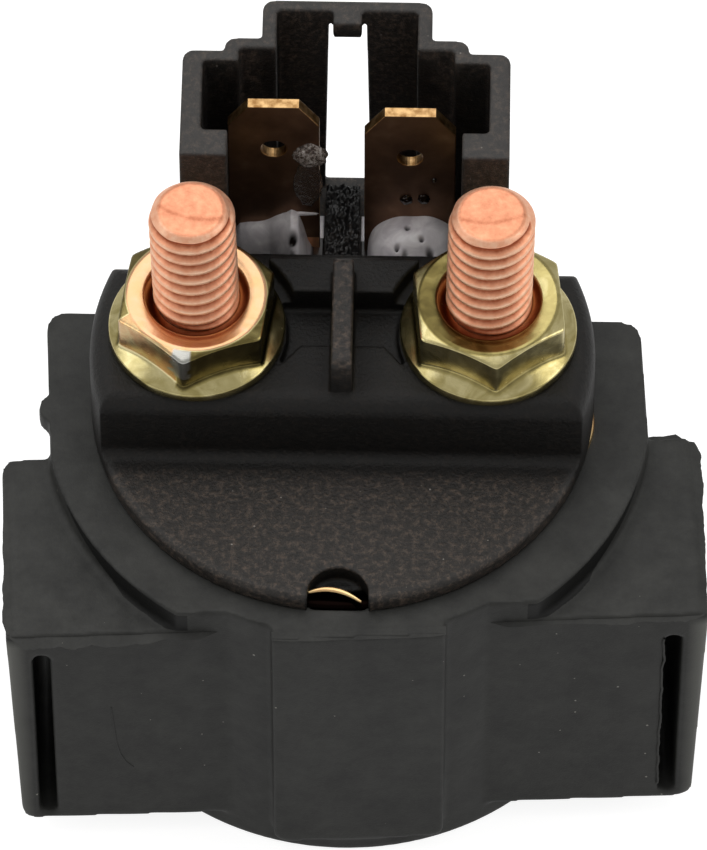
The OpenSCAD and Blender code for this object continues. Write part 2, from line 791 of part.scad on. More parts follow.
// Insulating washer between the bridge and the clip
module bridge_washer() {
    color([0.5, 0.2, 0.12]) ring(washer_r, rod_bore_r, bridge_top, washer_top);
}

// Middle of a spring's wire after a share of its length: a helix whose ends lie on its two seats
function coil_point(share, r, low, high, wire, turns) =
    [r * cos(360 * turns * share), r * sin(360 * turns * share),
     low + wire / 2 + fit + (high - low - wire - 2 * fit) * share];

// Round wire swept along a helix, as one unbroken tube
module spring(r, low, high, wire, turns) {
    rings = ceil(turns * ring_steps);
    points = [
        for (i = [0:rings])
            let (c = coil_point(i / rings, r, low, high, wire, turns), a = 360 * turns * i / rings)
            for (k = [0:wire_sides - 1]) let (b = 360 * k / wire_sides)
                c + wire / 2 * [cos(b) * cos(a), cos(b) * sin(a), sin(b)]];
    sides = [
        for (i = [0:rings - 1]) for (k = [0:wire_sides - 1])
            let (m = (k + 1) % wire_sides, p = i * wire_sides, q = p + wire_sides)
                each [[p + k, p + m, q + k], [p + m, q + m, q + k]]];
    ends = [
        for (k = [1:wire_sides - 2]) each [
            [0, k + 1, k], [rings * wire_sides, rings * wire_sides + k, rings * wire_sides + k + 1]]];
    polyhedron(points = points, faces = concat(sides, ends));
    least = (high - low - wire - 2 * fit) / turns - wire;
    echo(str("least gap between the turns of a spring: ", least, " mm"));
}

// Spring that drives the plunger down again
module return_spring() {
    color([0.7, 0.7, 0.72]) spring(return_r, spring_seat, core_bottom, return_wire, return_turns);
}

// Spring that presses the bridge on the studs
module contact_spring() {
    color([0.7, 0.7, 0.72]) spring(contact_r, collar_top, bush_bottom, contact_wire, contact_turns);
}

rubber_boot();
steel_can();
terminal_cap();
stud(-1);  // stud_left
stud(1);  // stud_right
flange_nut(-1, nut_left_turn);  // nut_left
flange_nut(1, nut_right_turn);  // nut_right
blade(-1);  // blade_left
blade(1);  // blade_right
sealant(-1);  // sealant_left
sealant(1);  // sealant_right
sealant_middle();
cap_gasket();
pole_plate();
coil_bobbin();
coil_winding();
guide_tube();
fixed_core();
coil_lead(-1);  // coil_lead_left
coil_lead(1);  // coil_lead_right
plunger();
plunger_rod();
return_spring();
contact_spring();
rod_clip();
contact_bridge();
bridge_insulator();
bridge_washer();
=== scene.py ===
# Motorcycle starter relay in its rubber boot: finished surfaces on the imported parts. Metres, Z up along the studs.
import math
import random

import bmesh
import bpy
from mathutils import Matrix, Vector, noise


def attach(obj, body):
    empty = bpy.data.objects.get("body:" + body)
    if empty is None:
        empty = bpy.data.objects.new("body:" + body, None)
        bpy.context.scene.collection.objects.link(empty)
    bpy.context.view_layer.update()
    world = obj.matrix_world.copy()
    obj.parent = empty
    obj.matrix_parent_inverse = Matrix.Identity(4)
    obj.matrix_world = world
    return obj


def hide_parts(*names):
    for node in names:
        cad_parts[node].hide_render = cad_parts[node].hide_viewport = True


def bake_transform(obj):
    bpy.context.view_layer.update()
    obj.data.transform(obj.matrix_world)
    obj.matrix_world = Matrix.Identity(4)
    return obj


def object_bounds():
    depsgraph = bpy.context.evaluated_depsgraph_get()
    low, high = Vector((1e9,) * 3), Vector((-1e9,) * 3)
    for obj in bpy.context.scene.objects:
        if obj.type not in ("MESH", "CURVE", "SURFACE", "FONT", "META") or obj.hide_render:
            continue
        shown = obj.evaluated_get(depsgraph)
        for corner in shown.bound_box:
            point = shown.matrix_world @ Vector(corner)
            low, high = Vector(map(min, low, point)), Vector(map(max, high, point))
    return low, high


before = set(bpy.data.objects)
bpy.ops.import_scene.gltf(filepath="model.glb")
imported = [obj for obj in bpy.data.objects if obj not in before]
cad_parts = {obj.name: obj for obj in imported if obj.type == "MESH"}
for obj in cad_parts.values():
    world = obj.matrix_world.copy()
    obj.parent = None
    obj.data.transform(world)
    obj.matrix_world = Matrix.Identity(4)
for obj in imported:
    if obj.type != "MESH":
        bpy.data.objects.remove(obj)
cad_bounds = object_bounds()
mm = 0.001

# ---------------------------------------------------------------- Rubber boot
# A cup of black rubber, compression moulded in a split steel mould, pushed over the can by hand.
# The mould's parting line leaves thin torn flash along the ears' upper edges, and the release leaves
# the surface dull, with a fine grain and pale dust.
boot_turn = math.radians(3.4)           # as it sits on the can
boot_shift = 0.35                       # its outside stands off its bore; in millimetres, as all lengths here
boot_cell, boot_keep = 0.22, 0.4        # mesh cell, which rounds the edges as the mould does; share of faces kept
boot_wave, wave_length = 0.05, 4.0      # unevenness of the faces
boot_wavy_r, boot_wavy_low = 18.4, 1.0  # which is only on the outside, above the base


def placed(name, data):
    """A new object in the scene."""
    piece = bpy.data.objects.new(name, data)
    bpy.context.scene.collection.objects.link(piece)
    return piece


def settle(piece):
    """Turns a piece's modifiers or curve into its mesh, smooth shaded."""
    view = bpy.context.evaluated_depsgraph_get()
    mesh = bpy.data.meshes.new_from_object(piece.evaluated_get(view))
    if piece.type == "CURVE":
        name = piece.name
        bpy.data.objects.remove(piece)
        piece = placed(name, mesh)
    else:
        piece.modifiers.clear()
        piece.data = mesh
    mesh.materials.clear()
    mesh.polygons.foreach_set("use_smooth", [True] * len(mesh.polygons))
    return piece


def recast(name, node, cell, keep):
    """Copies a CAD node's solid in small even cells, smooths it and keeps that share of the faces."""
    piece = placed(name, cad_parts[node].data.copy())
    welded = bmesh.new()
    welded.from_mesh(piece.data)
    bmesh.ops.remove_doubles(welded, verts=welded.verts, dist=0.002 * mm)
    welded.to_mesh(piece.data)
    welded.free()
    cells = piece.modifiers.new("cells", "REMESH")
    cells.mode = "VOXEL"
    cells.voxel_size = cell * mm * 1
    smooth = piece.modifiers.new("smooth", "SMOOTH")
    smooth.factor = 0.5
    smooth.iterations = 2
    thin = piece.modifiers.new("thin", "DECIMATE")
    thin.ratio = keep
    return settle(piece)


boot = recast("boot_moulding", "rubber_boot", boot_cell, boot_keep)
for vertex in boot.data.vertices:
    at = vertex.co
    if math.hypot(at.x, at.y) > boot_wavy_r * mm and at.z > boot_wavy_low * mm:
        vertex.co = at + Vector((0, 0, 1)) * boot_wave * mm * noise.noise(at / (wave_length * mm))


def world_of(x, y, z):
    """A place in the boot's own directions as a point of the scene."""
    c, s = math.cos(boot_turn), math.sin(boot_turn)
    return Vector((x * c - y * s, x * s + y * c, z)) * mm


ear_left, ear_right = -23.75, 24.45         # outer faces of the ears
ear_front, ear_back = -17.0, -2.2
edge_z = 25.4 - 0.2                         # a little under the ears' top
pad_y, pad_z = -19.38, 27.45                # upper front edge of the pad
flash_step, flash_lip = 0.22, 0.16          # pitch of the tears, and thickness of the flash at its root
root_in, root_up = 0.6, 0.15                # the root starts inside the moulding, a little above the edge
flash_least, flash_ends = 0.25, 12          # least share of the reach, and how fast it grows from both ends


def torn_flash(piece, start, end, outward, reach, droop, seed):
    """Adds a thin torn lip along one edge. It stands out by a ragged share of the reach, which changes on the way."""
    count = max(8, int((end - start).length / flash_step))
    rng = random.Random(seed)
    lean = 0.0
    rows = []
    for i in range(count + 1):
        t = i / count
        lean = 0.86 * lean + 0.14 * rng.uniform(-1, 1)
        ragged = 0.8 + 0.7 * lean + 0.4 * noise.noise(Vector((t * count * 0.11, seed, 0)))
        out = (reach[0] + (reach[1] - reach[0]) * t) * min(1.0, max(flash_least, ragged))
        out *= min(1, flash_ends * t, flash_ends * (1 - t))
        root = start.lerp(end, t)
        tip = root + outward * out - Vector((0, 0, droop * out + 0.02))
        inner = root - outward * root_in + Vector((0, 0, root_up))
        rows.append([world_of(*inner), world_of(*tip), world_of(inner.x, inner.y, inner.z - flash_lip)])
    grown = bmesh.new()
    grown.from_mesh(piece.data)
    rings = [[grown.verts.new(point) for point in row] for row in rows]
    for low, high in zip(rings, rings[1:]):
        for k in range(3):
            grown.faces.new((low[k], low[(k + 1) % 3], high[(k + 1) % 3], high[k]))
    grown.faces.new(rings[0][::-1])
    grown.faces.new(rings[-1])
    grown.to_mesh(piece.data)
    grown.free()


# Front edges of both ears, outer edges right and left, back edge of the right ear, and the pad's edge
for (x0, y0), (x1, y1), z, outward, reach, droop, seed in (
        ((ear_left + 0.3, ear_front), (-9.2, ear_front), edge_z, (0, -1), (1.2, 0.4), 0.3, 3),
        ((9.4, ear_front), (ear_right - 0.3, ear_front), edge_z, (0, -1), (0.35, 0.55), 0.3, 5),
        ((ear_right - 0.1, ear_front + 1.5), (ear_right - 0.1, ear_back - 0.3), edge_z, (1, 0), (0.15, 0.6), 0.1, 7),
        ((ear_left + 0.1, ear_front + 0.3), (ear_left + 0.1, ear_back - 0.6), edge_z, (-1, 0), (0.4, 0), 0.1, 11),
        ((18.2, ear_back), (ear_right - 0.9, ear_back), edge_z, (0, 1), (0.25, 0.55), 0.1, 13),
        ((-5.6, pad_y), (6.3, pad_y), pad_z, (0, -1), (0.14, 0.14), 0.3, 17)):
    torn_flash(boot, Vector((x0, y0, z)), Vector((x1, y1, z)), Vector((*outward, 0)), reach, droop, seed)

# The flash stays inside the boot's own size
low_corner, high_corner = cad_bounds
for vertex in boot.data.vertices:
    vertex.co = [min(high, max(low, v)) for v, low, high in zip(vertex.co, low_corner, high_corner)]


def drawn_line(name, trace, thickness):
    """A raised line on the boot's front face through (x, z) places in its own directions."""
    shape = bpy.data.curves.new(name, "CURVE")
    shape.dimensions = "3D"
    shape.bevel_depth = thickness * mm
    line = shape.splines.new("POLY")
    line.points.add(len(trace) - 1)
    for point, (x, z) in zip(line.points, trace):
        point.co = (*world_of(x, ear_front, z), 1)
    return settle(placed(name, shape))


seam = drawn_line("boot_mould_mark", [
    (-16.73, 16.2), (-16.6, 14.2), (-16.45, 11.8), (-16.2, 10.3), (-15.8, 9.2), (-15.34, 8.6)], 0.05)
# The right slot's inner edge is torn all the way up
slot_edge, slot_low, tear_step, tear_steps = 21.45, 4.2, 0.3, 62
rng = random.Random(23)
torn_edge = drawn_line("boot_torn_edge", [
    (slot_edge + rng.uniform(-0.04, 0.04) + 0.25 * noise.noise(Vector((k * 0.16, 21, 0))), slot_low + tear_step * k)
    for k in range(tear_steps)], 0.09)


def srgb(code):
    """A hex colour as Blender's linear one."""
    parts = [int(code[i:i + 2], 16) / 255 for i in (1, 3, 5)]
    return (*[c / 12.92 if c <= 0.04045 else ((c + 0.055) / 1.055) ** 2.4 for c in parts], 1.0)


def add(material, kind, values):
    """Adds one node. Each value goes to the socket or the setting of its name, and an output is linked."""
    tree = material.node_tree
    node = tree.nodes.new(kind)
    for key, value in values.items():
        if key == "stops":
            while len(node.color_ramp.elements) < len(value):
                node.color_ramp.elements.new(1)
            for element, (place, code) in zip(node.color_ramp.elements, value):
                element.position = place
                element.color = srgb(code)
        elif isinstance(value, bpy.types.NodeSocket):
            tree.links.new(value, node.inputs[key])
        elif isinstance(key, int) or key in node.inputs:
            node.inputs[key].default_value = value
        else:
            setattr(node, key, value)
    return node


def surface(name, values):
    """A material whose one shader has these values, its shader, and the place on the piece."""
    material = bpy.data.materials.new(name)
    material.use_nodes = True
    material.node_tree.nodes.clear()
    shader = add(material, "ShaderNodeBsdfPrincipled", values)
    add(material, "ShaderNodeOutputMaterial", {"Surface": shader.outputs[0]})
    place = add(material, "ShaderNodeTexCoord", {}).outputs["Object"]
    return material, shader, place


def feed(material, shader, socket, output):
    """Links an output to a socket of the material's shader."""
    material.node_tree.links.new(output, shader.inputs[socket])


def clouded(material, place, size, detail, **more):
    """Noise with clouds of this size in millimetres."""
    values = {"Vector": place, "Scale": 1 / (size * mm), "Detail": detail, **more}
    return add(material, "ShaderNodeTexNoise", values).outputs["Fac"]


def toned(material, share, *stops):
    """The colour at a share of the way along (place, colour) stops."""
    return add(material, "ShaderNodeValToRGB", {"Fac": share, "stops": stops}).outputs["Color"]


def laid_over(material, share, under, code):
    """Lays a share of a colour over another one."""
    values = {"data_type": "RGBA", 0: share, 6: under, 7: srgb(code)}
    return add(material, "ShaderNodeMix", values).outputs[2]


def worked(material, operation, *values, clamp=False):
    """The result of one sum, product or test."""
    values = {"operation": operation, "use_clamp": clamp, **dict(enumerate(values))}
    return add(material, "ShaderNodeMath", values).outputs[0]


def spread(material, value, source=(0, 1), target=(0, 1)):
    """Takes a value from one range to another, and no further than its ends."""
    values = {"From Min": source[0], "From Max": source[1], "To Min": target[0], "To Max": target[1]}
    return add(material, "ShaderNodeMapRange", {"Value": value, **values}).outputs[0]


def emboss(material, shader, strength, depth, height):
    """Tilts the shading as a relief of this depth in millimetres would."""
    bump = add(material, "ShaderNodeBump", {"Strength": strength, "Distance": depth * mm, "Height": height})
    feed(material, shader, "Normal", bump.outputs[0])


def specks(material, place, cell, width, share):
    """Specks of mixed size, in a share of the cells of this size in millimetres."""
    cells = add(material, "ShaderNodeTexVoronoi", {"Vector": place, "Scale": 1 / (cell * mm)})
    draw = add(material, "ShaderNodeSeparateColor", {"Color": cells.outputs["Color"]})
    size = worked(material, "MULTIPLY_ADD", draw.outputs[1], width, 0.015)
    speck = worked(material, "LESS_THAN", cells.outputs["Distance"], size)
    return worked(material, "MULTIPLY", speck, worked(material, "GREATER_THAN", draw.outputs[0], 1 - share))


# Black compression-moulded rubber: dull, dark grey where light falls on it, with a fine grain
rubber, shader, place = surface("moulded_rubber", {"Roughness": 0.55, "IOR": 1.5, "Specular IOR Level": 0.22})
bloom = clouded(rubber, place, 3, 7, Roughness=0.75)
tone = toned(rubber, bloom, (0.3, "#252524"), (0.7, "#393937"))
dusty = laid_over(rubber, specks(rubber, place, 1.3, 0.055, 0.5), tone, "#8d8b84")
# The rim's wall over the ears is painted near black between its edges: painted shade, where the wall faces the ears'
# tops
wall_r, wall_top = 20.6, 27.25
wall_starts, wall_full, wall_ends = -7.4, -14.0, -18.6      # ahead of the axis, in the boot's own directions
wall_foot = (27.0 * mm, 25.46 * mm)                         # where it starts, and where it is full
height = add(rubber, "ShaderNodeSeparateXYZ", {"Vector": place}).outputs["Z"]
off_axis = add(rubber, "ShaderNodeVectorMath", {"operation": "SUBTRACT", 0: place, 1: world_of(boot_shift, 0, 0)})
level = add(rubber, "ShaderNodeVectorMath", {"operation": "MULTIPLY", 0: off_axis.outputs[0], 1: (1, 1, 0)})
reach = add(rubber, "ShaderNodeVectorMath", {"operation": "LENGTH", 0: level.outputs[0]}).outputs["Value"]
aside, ahead = (
    add(rubber, "ShaderNodeVectorMath", {"operation": "DOT_PRODUCT", 0: off_axis.outputs[0], 1: own}).outputs["Value"]
    for own in (world_of(1, 0, 0).normalized(), world_of(0, 1, 0).normalized()))
black = worked(rubber, "GREATER_THAN", height, spread(rubber, ahead, (wall_starts * mm, wall_full * mm), wall_foot))
for test, value, bound in (("GREATER_THAN", reach, wall_r), ("LESS_THAN", height, wall_top),
                           ("LESS_THAN", ahead, wall_starts), ("GREATER_THAN", ahead, wall_ends)):
    black = worked(rubber, "MULTIPLY", black, worked(rubber, test, value, bound * mm))
wall_shaded = laid_over(rubber, black, dusty, "#0f0f0e")
# The outer corners of the ears are painted lighter grey, a painted sheen of the pale surroundings at a grazing angle:
# (place, no sheen, full sheen)
painted_edge_sheen = 1.0
for value, none, full in ((worked(rubber, "ABSOLUTE", aside), 22.7, 23.9), (height, 24.9, 24.0), (ahead, -13.5, -16.8)):
    painted_edge_sheen = worked(rubber, "MULTIPLY", painted_edge_sheen, spread(rubber, value, (none * mm, full * mm)))
sheened = laid_over(rubber, painted_edge_sheen, wall_shaded, "#6c6c68")
feed(rubber, shader, "Base Color", sheened)
emboss(rubber, shader, 0.6, 0.03, clouded(rubber, place, 0.14, 3))
for piece in (boot, seam, torn_edge):
    piece.data.materials.append(rubber)
    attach(piece, "housing")
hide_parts("rubber_boot")

# ---------------------------------------------------------------- Steel can
# Deep-drawn mild steel cup, zinc plated and yellow passivated before its edge is rolled in over the coil.
# From the front only the rolled edge shows, as a gold arc in the cap's notch; behind, a band of its side does.
can_low, can_top, can_r, can_bore, can_lip = 2.0, 27.6, 17.0, 16.1, 15.8
can_around = 240                                        # sides of the turned shape
dent_at, dent_half, dent_out, dent_up = -6, 9, 0.55, 0.5    # middle and half width in degrees, and depth
burr_x, burr_half, burr_y, burr_steps = -0.2, 1.8, -15.8, 24
burr_foot, burr_top = 27.4, 28.2
gap_shade_half, gap_shade_top = 2.7, 28.05                      # in the notch, all but the burr's top is painted near black as painted shade of the gap


def painted(material, name):
    """The value that the piece's mesh carries under this name."""
    return add(material, "ShaderNodeAttribute", {"attribute_name": name}).outputs["Fac"]


def paint(piece, name, values):
    """Stores one value for each vertex of a piece."""
    piece.data.attributes.new(name, "FLOAT", "POINT").data.foreach_set("value", values)


# Zinc plate on drawn steel: smooth, gold from the passivation, and painted near black down in the notch as painted
# shade of the gap
can_zinc, shader, place = surface("yellow_zinc_on_drawn_steel", {"Metallic": 1.0, "Roughness": 0.3})
film = toned(can_zinc, clouded(can_zinc, place, 3, 2), (0.3, "#dba978"), (0.7, "#efd49a"))
gap_shaded = laid_over(can_zinc, painted(can_zinc, "tarnish"), film, "#0a0504")
feed(can_zinc, shader, "Base Color", gap_shaded)


def skinned(name, points, faces):
    """A smooth shaded piece from points in millimetres."""
    mesh = bpy.data.meshes.new(name)
    mesh.from_pydata([(x * mm, y * mm, z * mm) for x, y, z in points], [], faces)
    mesh.polygons.foreach_set("use_smooth", [True] * len(mesh.polygons))
    return placed(name, mesh)


def lathe(name, rows, place, closed_ring=False):
    """Skins rows of (radius, height) pairs taken round an axis."""
    around = len(rows[0])
    points = [
        (place[0] + r * math.cos(math.tau * k / around), place[1] + r * math.sin(math.tau * k / around), z)
        for row in rows for k, (r, z) in enumerate(row)]
    last = len(rows) if closed_ring else len(rows) - 1
    faces = []
    for i in range(last):
        low, high = i * around, (i + 1) % len(rows) * around
        faces += [(low + k, low + (k + 1) % around, high + (k + 1) % around, high + k) for k in range(around)]
    if not closed_ring:
        faces += [tuple(reversed(range(around))), tuple(range(last * around, (last + 1) * around))]
    return skinned(name, points, faces)


def can_point(k, r, z):
    """The rolled edge is dented outwards over a few degrees on the right, where it shows beside the cap."""
    turn = (360 * k / can_around - dent_at + 180) % 360 - 180
    dent = max(0, 1 - (turn / dent_half) ** 2) if r > can_lip + 0.4 and z > can_top - 0.5 else 0
    return r + dent_out * dent, z + dent_up * dent


roll = [(can_r - 0.5 + 0.5 * math.cos(math.radians(a)), can_top - 0.42 + 0.4 * math.sin(math.radians(a)))
        for a in range(0, 91, 15)]
profile = [(0.01, can_low), (can_r - 1.4, can_low), (can_r - 0.4, can_low + 0.4), (can_r, can_low + 1.4)] + roll + [
    (can_bore, can_top - 0.1), (can_lip, can_top - 0.35), (can_lip, can_top - 0.6), (can_bore, can_top - 0.7),
    (can_bore, can_low + 1), (0.01, can_low + 1)]
can = lathe("can_drawn", [[can_point(k, *pair) for k in range(can_around)] for pair in profile], (0, 0))
# In the notch the edge carries a thin burr, rolled up into a bright arch over the dark gap in front of it
burr = bmesh.new()
burr.from_mesh(can.data)
burr_rings = []
for i in range(burr_steps + 1):
    u = 2 * i / burr_steps - 1
    x, y, wide = burr_x + burr_half * u, burr_y - 0.62 * (u + 0.3) ** 2, 0.06 + 0.15 * (1 - u * u) ** 0.5
    burr_rings.append([burr.verts.new(Vector((x, y + off, z)) * mm) for off, z in (
        (0.2, burr_foot), (wide, burr_top - 0.1), (wide / 2, burr_top), (-wide / 2, burr_top),
        (-wide, burr_top - 0.1), (-wide, burr_top - 0.2), (-0.3, burr_foot))])
for low, high in zip(burr_rings, burr_rings[1:]):
    for k in range(6):
        burr.faces.new((low[k], high[k], high[k + 1], low[k + 1])).smooth = True
burr.to_mesh(can.data)
burr.free()
places = [vertex.co / mm for vertex in can.data.vertices]
# The can in the notch, below the burr's top, gets painted shade
paint(can, "tarnish", [1.0 if abs(x) < gap_shade_half and y < 0 and z < gap_shade_top else 0.0 for x, y, z in places])
can.data.materials.append(can_zinc)
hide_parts("steel_can")
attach(can, "housing")

# ---------------------------------------------------------------- Terminal cap
# One moulding of black phenolic: shelf, terminal block and blade socket, transfer moulded round the studs.
# The resin shows brownish mottling and small pits where light skims the flat shelf; walls are smoother.
cap_cell, cap_keep = 0.15, 0.22                         # mesh cell, and share of faces kept
block_low, block_high, block_back = 29.3, 36.8, 6.4     # the terminal block, between the shelf and its top
cove_front, cove_high = -7.7, 30.3                      # the curve at its foot
socket_low, socket_high, socket_front = 29.4, 46.5, 7.8
socket_wide, socket_y = 10, 15.6                        # its main room, and the narrower one behind
socket_narrow, socket_back = 5.9, 19.4
notch_y, notch_r, notch_top = -16.7, 2.25, 28.8
cap = recast("cap_moulding", "terminal_cap", cap_cell, cap_keep)


def faded(past, span):
    """From 0 to 1 over a span, by how far past its start a place is."""
    return min(1, max(0, past / span))


# The block is darker, and the curve at its foot, the socket's inside and the notch are painted near black as painted
# shade;
# the block and the socket's inside were moulded against polished inserts, so the same share lowers their specular
# level.
# The socket's rim top is made lighter grey
polish, rubbed = [], []
for vertex in cap.data.vertices:
    x, y, z = vertex.co / mm
    block = faded(z - block_low, 0.9) * faded(block_high - z, 0.3) * faded(block_back - y, 0.4)
    cove = faded(y - cove_front, 1.3) * faded(block_back - y, 0.4) if z < cove_high else 0
    in_room = abs(x) < socket_wide and y < socket_y or abs(x) < socket_narrow and y < socket_back
    in_socket = socket_low < z < socket_high and y > socket_front and in_room
    in_notch = math.hypot(x, y - notch_y) < notch_r and z < notch_top
    polish.append(max(block, cove, 0.8 if in_socket else 0, 1.1 if in_notch else 0))
    rubbed.append(faded(z - socket_high - 0.05, 0.25))
paint(cap, "polish", polish)
paint(cap, "rubbed", rubbed)

# Black phenolic as moulded: satin, near black, mottled brown where the filler shows
phenolic, shader, place = surface("moulded_phenolic", {"IOR": 1.55, "Specular IOR Level": 0.3})
mottle = clouded(phenolic, place, 0.5, 6, Roughness=0.8)
resin = toned(phenolic, mottle, (0.3, "#0b0b0a"), (0.5, "#25211e"), (0.7, "#584b41"))
specked = laid_over(phenolic, specks(phenolic, place, 0.8, 0.07, 0.35), resin, "#7d7872")
shade_and_polish_share = painted(phenolic, "polish")
# Painted shade: the block, its foot, the socket's inside and the notch go near black
shade_darkened = laid_over(phenolic, worked(phenolic, "MULTIPLY", shade_and_polish_share, 0.9), specked, "#0e0d0c")
# The socket's rim top is made lighter grey
rim_grey_share = worked(phenolic, "MULTIPLY", painted(phenolic, "rubbed"), 0.35)
greyed = laid_over(phenolic, rim_grey_share, shade_darkened, "#454342")
feed(phenolic, shader, "Base Color", greyed)
feed(phenolic, shader, "Specular IOR Level", spread(phenolic, shade_and_polish_share, target=(0.3, 0.21)))
feed(phenolic, shader, "Roughness", spread(phenolic, mottle, target=(0.38, 0.55)))
emboss(phenolic, shader, 0.9, 0.09, clouded(phenolic, place, 0.25, 5, Roughness=0.65))
cap.data.materials.append(phenolic)
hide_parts("terminal_cap")
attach(cap, "housing")

# ---------------------------------------------------------------- Copper studs
# Rolled copper studs, M6, moulded into the cap by their flat-sided contact heads.
# Rolling leaves broad smooth crests over narrow grooves, which are painted darker as painted shade, and a chamfered,
# slightly domed tip.
stud_places = {"left": (-10.0, 0.8), "right": (10.0, 0.8)}
stud_leans = {"left": -0.2, "right": 0.1}               # they stand a little apart at the tips
stud_r, stud_tip_r, stud_tip_h = 2.95, 2.2, 0.9
stud_top, stud_core_r = 49.0, 2.68
head_low, head_top, head_r, head_flat = 29.91, 31.8, 4.1, 3.7
thread_low, thread_pitch, thread_depth = 38.9, 1.15, 0.4
stud_around, stud_steps = ((72, 14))     # sides of the shape, and rows in one pitch
tip_rings, tip_ring_step = 12, 0.07     # rings across the tip, and their pitch as a share of its radius


def thread_sink(share):
    """Depth of the rolled thread after a share of one pitch: broad rounded crest, narrow groove."""
    off = abs(share % 1 - 0.5) * 2          # 1 on the crest, 0 in the groove
    t = faded(0.85 - off, 0.78)
    return t * t * (3 - 2 * t)


def head_at(k):
    """Radius of the contact head, which is round with two flat sides."""
    return min(head_r, head_flat / max(0.001, abs(math.sin(math.tau * k / stud_around))))


# Copper, rolled and bright: peach on the crests, painted redder and darker down in the grooves as painted shade
copper, shader, place = surface("rolled_copper", {"Metallic": 1.0, "Roughness": 0.5})
shade = worked(copper, "MULTIPLY_ADD", clouded(copper, place, 0.6, 6, Roughness=0.65), 0.8, -0.36)
total = worked(copper, "ADD", painted(copper, "groove"), shade, clamp=True)
hue = toned(copper, total, (0.0, "#ffd2b2"), (0.35, "#f0a985"), (1.0, "#a4583a"))
feed(copper, shader, "Base Color", hue)
emboss(copper, shader, 0.5, 0.03, clouded(copper, place, 0.2, 3))

for side, spot in stud_places.items():
    rows = [[(share * head_at(k), z) for k in range(stud_around)]
            for share, z in ((0.9, head_low), (1, head_low + 0.15), (1, head_top))]
    rows += [[(stud_core_r, z)] * stud_around for z in (head_top, thread_low - 0.2)]
    groove_shade_and_tip = [0.0] * (stud_around * len(rows))
    levels = int((stud_top - stud_tip_h * 0.12 - thread_low) / thread_pitch * stud_steps)
    for i in range(levels + 1):
        z = thread_low + (stud_top - 0.1 - thread_low) * i / levels
        chamfer = stud_tip_r + (stud_top - z) * (stud_r - stud_tip_r) / stud_tip_h
        row = []
        for k in range(stud_around):
            sink = thread_sink((z - thread_low) / thread_pitch - k / stud_around)
            r = min(stud_r - thread_depth * sink, chamfer + 0.06)
            row.append((r, z))
            # the thread's depth here sets its painted shade
            groove_shade_and_tip.append(sink if r < chamfer else 0.15)
        rows.append(row)
    for share, drop in [(0.985, 0.03), (0.95, 0.0)] + [(0.9 - tip_ring_step * i, 0.0) for i in range(tip_rings)]:
        rows.append([(stud_tip_r * share, stud_top - drop)] * stud_around)
        for k in range(stud_around):        # cutting to length leaves a faint crease across the tip
            across, along = share * math.cos(math.tau * k / stud_around), share * math.sin(math.tau * k / stud_around)
            crease = math.exp(-((along + 0.35 - 0.25 * across * across - stud_leans[side] * across) / 0.08) ** 2)
            groove_shade_and_tip.append(0.42 + 0.25 * crease)
    stud = lathe("stud_" + side + "_threaded", rows, spot)
    for vertex in stud.data.vertices:
        vertex.co.x += stud_leans[side] * max(0, vertex.co.z - thread_low * mm) / (stud_top - thread_low)
    paint(stud, "groove", groove_shade_and_tip)
    stud.data.materials.append(copper)
    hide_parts("stud_" + side)
    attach(stud, "housing")

# ---------------------------------------------------------------- Flange nuts
# Cold-formed hexagon flange nuts, zinc plated and yellow passivated. The passivation film shifts between
# gold, pink and green, and the countersink at the thread stays brown where the bath hardly reached.
nut_low, nut_h, nut_af = 35.0, 4.4, 10.0
nut_corner = nut_af / 2 / math.cos(math.radians(30))
flange_r, flange_edge, flange_rise, flange_share = 6.1, 0.8, 1.7, 0.8
crown_h, crown_r, crown_flat = 0.5, 4.7, 4.2
sink_r, sink_h, nut_bore = 3.6, 0.6, 2.75
nut_turns = {"left": 22.0, "right": 36.0}
nut_around, nut_rows = 180, 57
chip_turn, chip_half = 260.0, 7         # a wrench has bruised this corner of the left nut, in degrees
chip_low, chip_high, chip_r = 37.0, 39.3, 4.7
lit_from, lit_to = 200, 258             # the left nut's walls painted light, a painted reflection of the bright left side, in degrees
film_r = 4.95                           # the flat top inside this radius has a film of its own; the right nut's is painted darker towards its left as painted shade
flange_film, foot_shade_film, shaded_face_film, lit_face_film, right_film, top_film = 0.48, 0.2, 0.72, 0.22, 0.46, 0.1


def blend_min(a, b, soft):
    """The smaller of two lengths, rounded over where they meet."""
    h = max(0, soft - abs(a - b)) / soft
    return min(a, b) - h * h * soft / 4


def hexagon(k, turn):
    """Distance of the six walls from the axis, with rounded corners."""
    angle = (360 * k / nut_around - turn) % 60 - 30
    return blend_min(nut_af / 2 / math.cos(math.radians(angle)), nut_corner - 0.05, 0.12)


def flange_at(h):
    """Radius of the flange's cone at a height over the nut's foot."""
    return flange_r - max(0, h - flange_edge) * flange_r * (1 - flange_share) / (flange_rise - flange_edge)


def nut_ring(h, turn, inset):
    """The nut's outside at a height: the walls under the domed crown, run into the flange."""
    crown = crown_r + (nut_h - h) * (nut_corner - crown_r) / crown_h
    walls = [blend_min(hexagon(k, turn), crown, 0.14) for k in range(nut_around)]
    return [-blend_min(-wall, -flange_at(h), 0.3) - inset for wall in walls]


